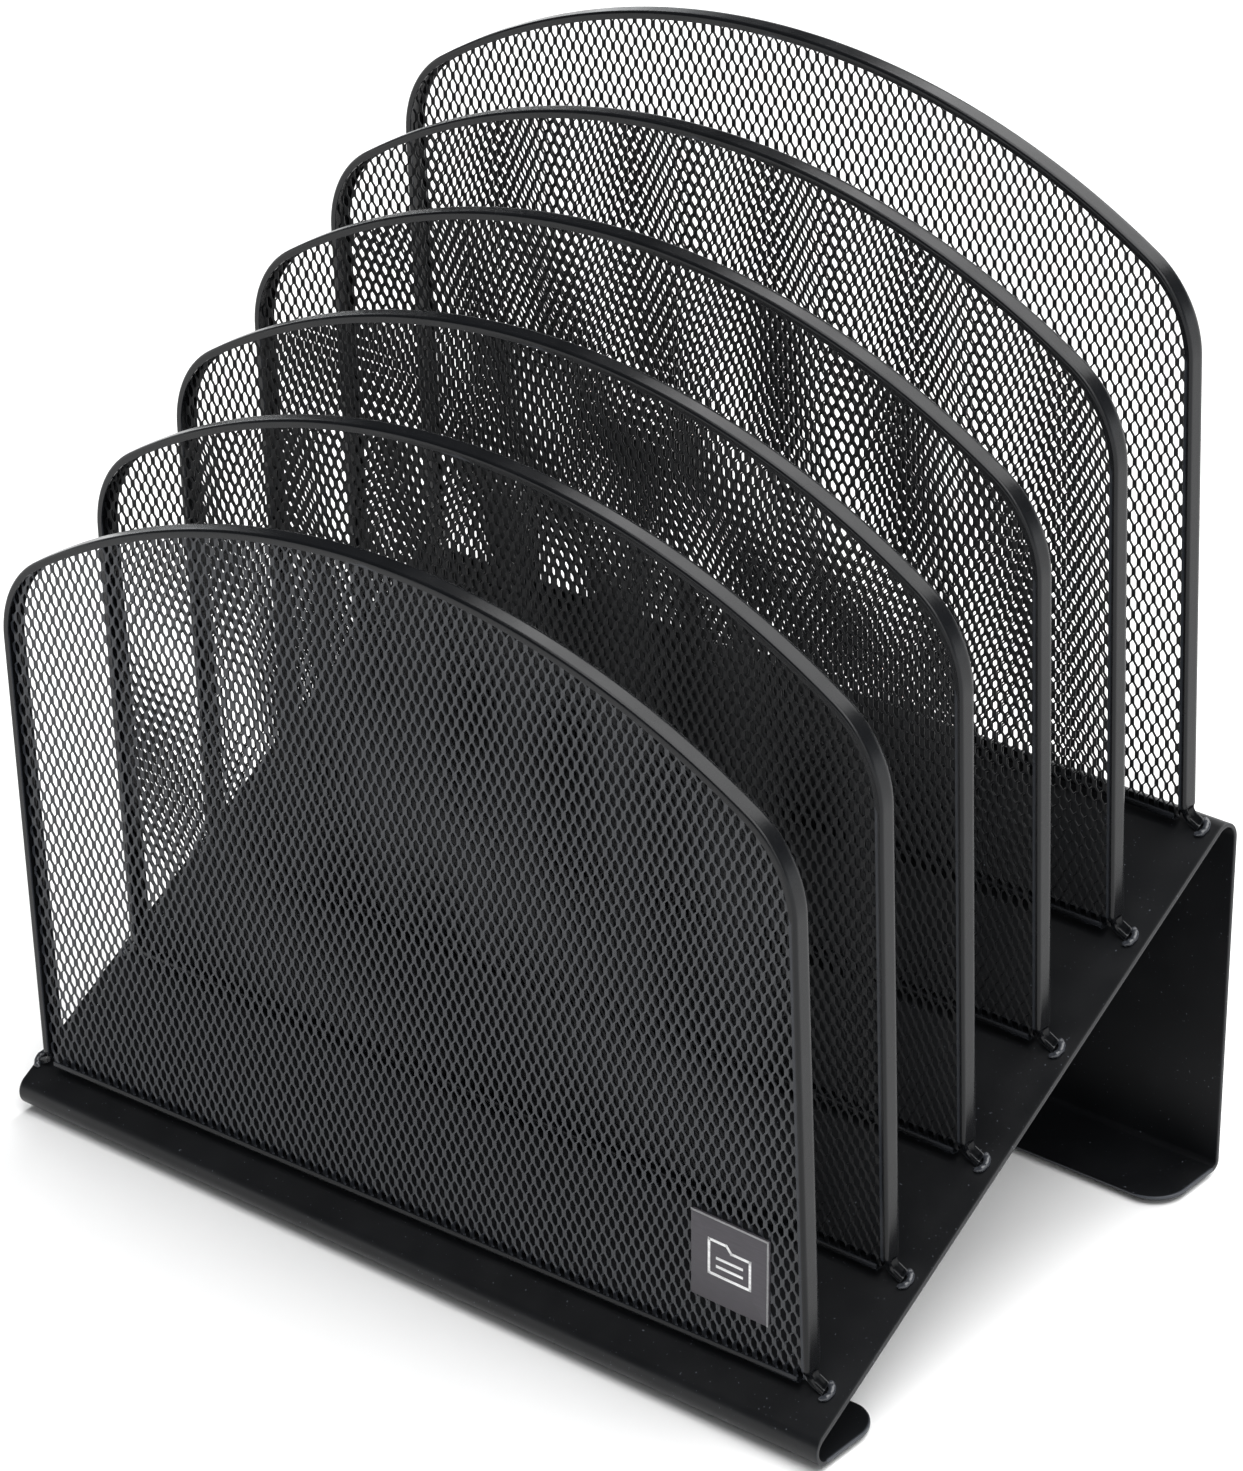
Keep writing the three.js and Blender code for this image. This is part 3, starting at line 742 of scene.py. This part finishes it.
def slab(outline, front, back, edge):
    """A flat plate with rounded front and back edges; front is the lower y."""
    centre = np.mean(outline, axis=0)
    soft = edge * 0.3
    rear = [(back, edge), (back - soft, soft), (back - edge, 0)]
    fore = [(front + edge, 0), (front + soft, soft), (front, edge)]
    rings = []
    for y, inset in rear + fore:
        ring = []
        for x, z in outline:
            away = np.array([x, z]) - centre
            scale = 1 - inset / np.linalg.norm(away)
            ring.append((centre[0] + away[0] * scale, y, centre[1] + away[1] * scale))
        rings.append(np.array(ring))
    return loft(rings)


def merged(parts):
    """Several (material number, (vertices, faces)) as one mesh, with the material number per face."""
    vertices, faces, numbers, start = [], [], [], 0
    for number, (points, part_faces) in parts:
        vertices.append(points)
        faces += [tuple(i + start for i in face) for face in part_faces]
        numbers += [number] * len(part_faces)
        start += len(points)
    return np.concatenate(vertices), faces, numbers


def bar(x1, z1, x2, z2, front, back, width):
    """A raised straight line of print with rounded edges."""
    a, b = np.array([x1, z1]), np.array([x2, z2])
    along = (b - a) / np.linalg.norm(b - a) * width / 2
    side = np.array([-along[1], along[0]])
    outline = [tuple(p) for p in (a - along - side, b + along - side, b + along + side, a - along + side)]
    return slab(outline, front, back, PRINT_EDGE)


def build_label():
    """Dark square plate with a painted highlight as lighter bars along its top and right edges, and a plain
    pictogram of a folder.
    """
    width, height = LABEL_SIZE
    front = LABEL_Y - LABEL_THICKNESS
    face = front + LABEL_EDGE
    back = face + PRINT_DEPTH
    ground, painted_highlight, printed = 0, 1, 2
    parts = [(ground, slab(rounded_outline(width, height, LABEL_CORNER), face, LABEL_Y, LABEL_EDGE))]
    edge_x = (width - RIB_WIDTH) / 2
    edge_z = (height - RIB_WIDTH) / 2
    # The top and right edge bars carry the painted highlight.
    parts.append((painted_highlight, bar(-edge_x, edge_z, edge_x, edge_z, front, back, RIB_WIDTH)))
    parts.append((painted_highlight, bar(edge_x, edge_z - RIB_WIDTH, edge_x, -edge_z, front, back, RIB_WIDTH)))
    w, h = FOLDER_HALF_WIDTH, FOLDER_HALF_HEIGHT
    tab_end, tab_top = -1 * MM, h + 1.8 * MM
    slope_end = 0.6 * MM
    folder = [(-w, -h), (w, -h), (w, h), (slope_end, h), (tab_end, tab_top), (-w, tab_top), (-w, -h)]
    for (x1, z1), (x2, z2) in zip(folder, folder[1:]):
        parts.append((printed, bar(x1, z1, x2, z2, front, back, LINE_WIDTH)))
    rule_end = w * 0.6
    for rule_z in (h * 0.25, h * -0.35):
        parts.append((printed, bar(-rule_end, rule_z, rule_end, rule_z, front, back, LINE_WIDTH)))
    vertices, faces, numbers = merged(parts)
    piece = make_object("label_look", vertices, faces, [label_dark, label_painted_highlight, label_light], numbers)
    face_outward(piece)
    hung = Matrix.Translation((LABEL_X, 0, LABEL_Z)) @ Matrix.Rotation(LABEL_TURN, 4, "Y")
    put(piece, "label_plate", standing(1) @ hung)


def build_pads():
    """Turned rubber discs with rounded rims and a shallow dish underneath."""
    for corner in ("front_left", "front_right", "rear_left", "rear_right"):
        low, high = box(f"foot_pad_{corner}")
        centre = (low + high) / 2
        radius = (high[0] - low[0]) / 2
        height = high[2] - low[2]
        profile = [(PAD_HUB, PAD_DISH), (radius * 0.6, PAD_DISH), (radius * 0.68, 0), (radius - PAD_ROUND, 0)]
        for angle in steps(-math.pi / 2, math.pi / 2, 8)[1:-1]:
            lift = PAD_ROUND if angle < 0 else height - PAD_ROUND
            out = radius - PAD_ROUND + PAD_ROUND * math.cos(angle)
            profile.append((out, lift + PAD_ROUND * math.sin(angle)))
        profile += [(radius - PAD_ROUND, height), (PAD_HUB, height)]
        turns = steps(0, 2 * math.pi, 48)[:-1]
        rings = []
        for out, up in profile:
            x = centre[0] + out * np.cos(turns)
            y = centre[1] + out * np.sin(turns)
            rings.append(np.stack([x, y, np.full(len(turns), low[2] + up)], 1))
        vertices, faces = loft(rings)
        piece = make_object(f"pad_look_{corner}", vertices, faces, [pad_rubber])
        face_outward(piece)
        put(piece, f"foot_pad_{corner}")


# ---- Floor, light and camera ----------------------------------------------------
def build_floor():
    """A plain pale floor."""
    material, tree, shader = new_material("pale_floor", 0.7, 0.2)
    tone = spread(tree, noise(tree, 400 * MM), 0, 1)
    tree.links.new(blend_colour(tree, tone, grey(0.90), grey(0.93)), shader.inputs["Base Color"])
    reach = 12
    corners = [(-reach, -reach, 0), (reach, -reach, 0), (reach, reach, 0), (-reach, reach, 0)]
    floor = make_object("floor", corners, [(0, 1, 2, 3)], [material])


def sun_light(name, direction, angle, strength):
    """A broad, soft light from far away: angle in degrees, direction from the object to the light."""
    light = bpy.data.lights.new(name, "SUN")
    light.angle = math.radians(angle)
    light.energy = strength
    lamp = bpy.data.objects.new(name, light)
    lamp.rotation_euler = Vector(direction).to_track_quat("Z", "Y").to_euler()
    bpy.context.scene.collection.objects.link(lamp)


def build_world():
    """A dark studio whose pale backdrop reaches a little above the horizon."""
    world = bpy.data.worlds.new("studio")
    world.use_nodes = True
    tree = world.node_tree
    background = tree.nodes["Background"]
    coordinates = tree.nodes.new("ShaderNodeTexCoord")
    split = tree.nodes.new("ShaderNodeSeparateXYZ")
    tree.links.new(coordinates.outputs["Generated"], split.inputs["Vector"])
    glow = spread(tree, split.outputs["Z"], low=1.8, high=0.06, start=0.08, end=0.22)
    tree.links.new(glow, background.inputs["Strength"])
    background.inputs["Color"].default_value = (0.95, 0.98, 1.0, 1)
    bpy.context.scene.world = world


def build_lights():
    """A broad light overhead, one behind for the arches' upper faces, and a weak one for the rims' sides."""
    build_world()
    sun_light("top", direction=(0.3, 0.0, 0.95), angle=60, strength=3.9)
    sun_light("back", direction=(-0.05, 0.72, 0.65), angle=45, strength=1.8)
    sun_light("front_right", direction=(0.8, -0.5, 0.5), angle=30, strength=0.6)


def build_camera():
    """The camera stands to the front right, above the sorter, and is a little rolled."""
    place = Vector((0.8558, -0.9694, 0.8138))
    azimuth = math.radians(39.5138)
    elevation = math.radians(25.4676)
    roll = math.radians(-1.3)
    level = math.cos(elevation)
    forward = Vector((-math.sin(azimuth) * level, math.cos(azimuth) * level, -math.sin(elevation)))
    flat_right = forward.cross(Vector((0, 0, 1))).normalized()
    flat_up = flat_right.cross(forward)
    right = flat_right * math.cos(roll) + flat_up * math.sin(roll)
    up = flat_up * math.cos(roll) - flat_right * math.sin(roll)
    camera = bpy.data.cameras.new("camera")
    camera.sensor_fit = "VERTICAL"
    camera.sensor_height = 36
    camera.lens = 133.54
    camera.shift_x = -0.0942
    camera.shift_y = -0.1669
    camera.clip_start = 0.05
    camera.clip_end = 50
    seen = bpy.data.objects.new("camera", camera)
    seen.matrix_world = Matrix((
        (right.x, up.x, -forward.x, place.x),
        (right.y, up.y, -forward.y, place.y),
        (right.z, up.z, -forward.z, place.z),
        (0, 0, 0, 1),
    ))
    bpy.context.scene.collection.objects.link(seen)
    bpy.context.scene.camera = seen


build_base()
build_dividers()
build_label()
build_pads()
build_floor()
build_lights()
build_camera()

bpy.context.scene.view_settings.view_transform = "Standard"
